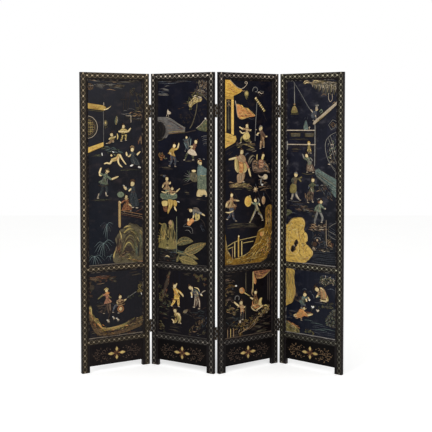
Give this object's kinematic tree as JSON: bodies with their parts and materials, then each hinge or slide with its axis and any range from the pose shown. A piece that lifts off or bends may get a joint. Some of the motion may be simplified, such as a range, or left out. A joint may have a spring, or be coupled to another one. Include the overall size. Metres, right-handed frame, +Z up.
{
  "type": "folding screen",
  "caption": "Free-standing folding screen: lacquered frame-and-panel leaves with bordered frames and relief scenes, hinged to stand in zigzag and to fold flat.",
  "frame": {"origin": "bottom centre of the bounding box as the screen stands in zigzag, on the floor plane", "axes": "+Z up, +X to the viewer's right along the screen, +Y from the decorated fronts to the backs"},
  "size_m": [1.5924, 0.3044, 1.83],
  "materials": {
    "frame_lacquer": "dark brown-black lacquer with a gilt lozenge band",
    "panel_lacquer": "polished blue-black lacquer with coloured relief",
    "apron_lacquer": "blue-black lacquer with a gilt flower",
    "hinge_metal": "dark oil-blacked metal, worn at the edges",
    "pin_metal": "dark worn steel",
    "screw_steel": "dull steel"
  },
  "bodies": {
    "leaf_1": {"leaf_1_left_stile": "frame_lacquer", "leaf_1_right_stile": "frame_lacquer", "leaf_1_top_rail": "frame_lacquer", "leaf_1_middle_rail": "frame_lacquer", "leaf_1_low_rail": "frame_lacquer", "leaf_1_upper_panel": "panel_lacquer", "leaf_1_lower_panel": "panel_lacquer", "leaf_1_apron": "apron_lacquer", "leaf_1_hinge_screws": "screw_steel", "fold_1_upper_left_plate": "hinge_metal", "fold_1_lower_left_plate": "hinge_metal"},
    "leaf_2": {"leaf_2_left_stile": "frame_lacquer", "leaf_2_right_stile": "frame_lacquer", "leaf_2_top_rail": "frame_lacquer", "leaf_2_middle_rail": "frame_lacquer", "leaf_2_low_rail": "frame_lacquer", "leaf_2_upper_panel": "panel_lacquer", "leaf_2_lower_panel": "panel_lacquer", "leaf_2_apron": "apron_lacquer", "leaf_2_hinge_screws": "screw_steel", "fold_1_upper_right_plate": "hinge_metal", "fold_1_upper_pin": "pin_metal", "fold_1_lower_right_plate": "hinge_metal", "fold_1_lower_pin": "pin_metal", "fold_2_upper_left_plate": "hinge_metal", "fold_2_upper_pin": "pin_metal", "fold_2_lower_left_plate": "hinge_metal", "fold_2_lower_pin": "pin_metal"},
    "leaf_3": {"leaf_3_left_stile": "frame_lacquer", "leaf_3_right_stile": "frame_lacquer", "leaf_3_top_rail": "frame_lacquer", "leaf_3_middle_rail": "frame_lacquer", "leaf_3_low_rail": "frame_lacquer", "leaf_3_upper_panel": "panel_lacquer", "leaf_3_lower_panel": "panel_lacquer", "leaf_3_apron": "apron_lacquer", "leaf_3_hinge_screws": "screw_steel", "fold_2_upper_right_plate": "hinge_metal", "fold_2_lower_right_plate": "hinge_metal", "fold_3_upper_left_plate": "hinge_metal", "fold_3_upper_pin": "pin_metal", "fold_3_lower_left_plate": "hinge_metal", "fold_3_lower_pin": "pin_metal"},
    "leaf_4": {"leaf_4_left_stile": "frame_lacquer", "leaf_4_right_stile": "frame_lacquer", "leaf_4_top_rail": "frame_lacquer", "leaf_4_middle_rail": "frame_lacquer", "leaf_4_low_rail": "frame_lacquer", "leaf_4_upper_panel": "panel_lacquer", "leaf_4_lower_panel": "panel_lacquer", "leaf_4_apron": "apron_lacquer", "leaf_4_hinge_screws": "screw_steel", "fold_3_upper_right_plate": "hinge_metal", "fold_3_lower_right_plate": "hinge_metal"}
  },
  "joints": [
    {"name": "fold_1", "type": "hinge", "parent": "leaf_2", "child": "leaf_1", "pos_m": [-0.38691, 0.1083, 0.9], "axis": [0, 0, 1], "range_deg": [-61.5, 118.5]},
    {"name": "fold_2", "type": "hinge", "parent": "leaf_2", "child": "leaf_3", "pos_m": [0.02627, -0.1108, 0.9], "axis": [0, 0, 1], "range_deg": [-66, 114]},
    {"name": "fold_3", "type": "hinge", "parent": "leaf_3", "child": "leaf_4", "pos_m": [0.42315, 0.13659, 0.9], "axis": [0, 0, -1], "range_deg": [-74, 106]}
  ]
}
